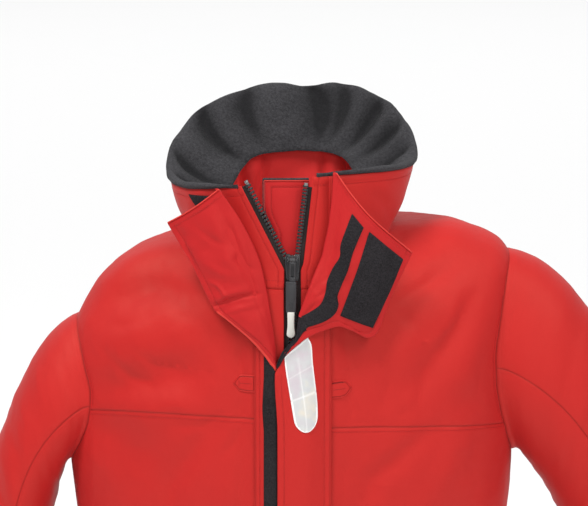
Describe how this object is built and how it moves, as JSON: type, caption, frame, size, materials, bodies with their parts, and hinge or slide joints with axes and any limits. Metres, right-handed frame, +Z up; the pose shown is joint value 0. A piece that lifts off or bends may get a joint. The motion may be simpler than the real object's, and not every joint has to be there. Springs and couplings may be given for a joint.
{
  "type": "foul weather jacket",
  "caption": "Sailing jacket with a padded stand-up collar, a full-length zip, two storm flaps folded back at the neck and hook-and-loop closures.",
  "frame": {"origin": "centre of the neck opening, at the height of the collar seam at the side of the neck", "axes": "+X to the wearer's left, -Y the front, +Z up"},
  "size_m": [0.9316, 0.2887, 0.8401],
  "materials": {
    "fleece": "brushed fleece, matt",
    "hood_fabric": "light coated fabric",
    "hook_tape": "moulded hook tape",
    "inner_red": "coated woven shell fabric, satin",
    "lining": "smooth woven lining",
    "loop_tape": "loop pile tape",
    "outer_red": "coated woven shell fabric, satin",
    "pull_grip": "moulded grip with a pale end",
    "pull_link": "dark painted",
    "reflective_film": "retroreflective film on cloth",
    "slider": "black painted",
    "webbing": "woven webbing",
    "zip_chain": "moulded plastic",
    "zip_stops": "plain metal",
    "zip_tape": "woven tape"
  },
  "bodies": {
    "jacket": {"front_yoke_left": "outer_red", "front_yoke_right": "outer_red", "front_panel_left": "outer_red", "front_panel_right": "outer_red", "back_yoke": "outer_red", "back_panel": "outer_red", "hem_band": "outer_red", "body_lining_left": "lining", "body_lining_right": "lining", "body_lining_back": "lining", "top_sleeve_left": "outer_red", "under_sleeve_left": "outer_red", "top_sleeve_right": "outer_red", "under_sleeve_right": "outer_red", "sleeve_lining_left": "lining", "sleeve_lining_right": "lining", "cuff_left": "outer_red", "cuff_right": "outer_red", "cuff_loop_left": "loop_tape", "cuff_loop_right": "loop_tape", "collar_shell": "outer_red", "collar_fleece": "fleece", "collar_facing": "inner_red", "stowed_hood": "hood_fabric", "hang_loop": "webbing", "collar_loop_patch": "loop_tape", "zip_tape_left": "zip_tape", "zip_tape_right": "zip_tape", "zip_teeth_left": "zip_chain", "zip_teeth_right": "zip_chain", "zip_top_stops": "zip_stops", "zip_box": "zip_chain", "zip_guard": "inner_red", "storm_flap_root": "outer_red", "reflective_patch_top": "reflective_film", "inner_flap_lower": "outer_red", "front_loop_strip": "loop_tape", "stitched_tab_left": "outer_red", "stitched_tab_right": "outer_red", "pocket_left": "outer_red", "pocket_right": "outer_red", "pocket_loop_left": "loop_tape", "pocket_loop_right": "loop_tape"},
    "slider": {"zip_slider": "slider"},
    "pull": {"zip_pull": "pull_link", "zip_grip": "pull_grip"},
    "storm_flap": {"storm_flap_lower": "outer_red", "flap_hook_strip_lower": "hook_tape", "reflective_patch": "reflective_film"},
    "chin_flap": {"storm_flap_collar": "inner_red", "chin_hook_patch": "hook_tape", "flap_hook_strip": "hook_tape"},
    "lapel": {"inner_flap_collar": "inner_red"},
    "pocket_flap_left": {"pocket_flap_left": "outer_red"},
    "pocket_flap_right": {"pocket_flap_right": "outer_red"},
    "cuff_strap_left": {"cuff_strap_left": "outer_red"},
    "cuff_strap_right": {"cuff_strap_right": "outer_red"}
  },
  "joints": [
    {"name": "zip_slide", "type": "slide", "parent": "jacket", "child": "slider", "axis": [0, -0.046, -0.9989], "range_m": [0, 0.64], "deforming": ["zip_teeth_left", "zip_teeth_right"]},
    {"name": "pull_swing", "type": "hinge", "parent": "slider", "child": "pull", "pos_m": [0, -0.11958, -0.00692], "axis": [1, 0, 0], "range_deg": [-165, 0]},
    {"name": "storm_flap_open", "type": "hinge", "parent": "jacket", "child": "storm_flap", "pos_m": [0.04, -0.13766, -0.4], "axis": [0, 0.046, 0.9989], "range_deg": [0, 150]},
    {"name": "chin_flap_close", "type": "hinge", "parent": "jacket", "child": "chin_flap", "pos_m": [0.017, -0.1256, -0.0225], "axis": [-0.2277, -0.0838, -0.9701], "range_deg": [0, 130]},
    {"name": "lapel_close", "type": "hinge", "parent": "jacket", "child": "lapel", "pos_m": [-0.041, -0.1195, -0.031], "axis": [-0.211, 0.0754, 0.9746], "range_deg": [0, 88]},
    {"name": "pocket_flap_left_lift", "type": "hinge", "parent": "jacket", "child": "pocket_flap_left", "pos_m": [0.14463, -0.1194, -0.40779], "axis": [-0.939, -0.3439, 0.0017], "range_deg": [0, 110]},
    {"name": "pocket_flap_right_lift", "type": "hinge", "parent": "jacket", "child": "pocket_flap_right", "pos_m": [-0.14463, -0.1194, -0.40779], "axis": [-0.939, 0.3439, -0.0017], "range_deg": [0, 110]},
    {"name": "cuff_strap_left_lift", "type": "hinge", "parent": "jacket", "child": "cuff_strap_left", "pos_m": [0.50615, -0.01193, -0.56543], "axis": [-0.2191, -0.0032, 0.9757], "range_deg": [0, 90]},
    {"name": "cuff_strap_right_lift", "type": "hinge", "parent": "jacket", "child": "cuff_strap_right", "pos_m": [-0.39643, -0.01195, -0.65051], "axis": [-0.0482, -0.0071, -0.9988], "range_deg": [0, 90]}
  ]
}
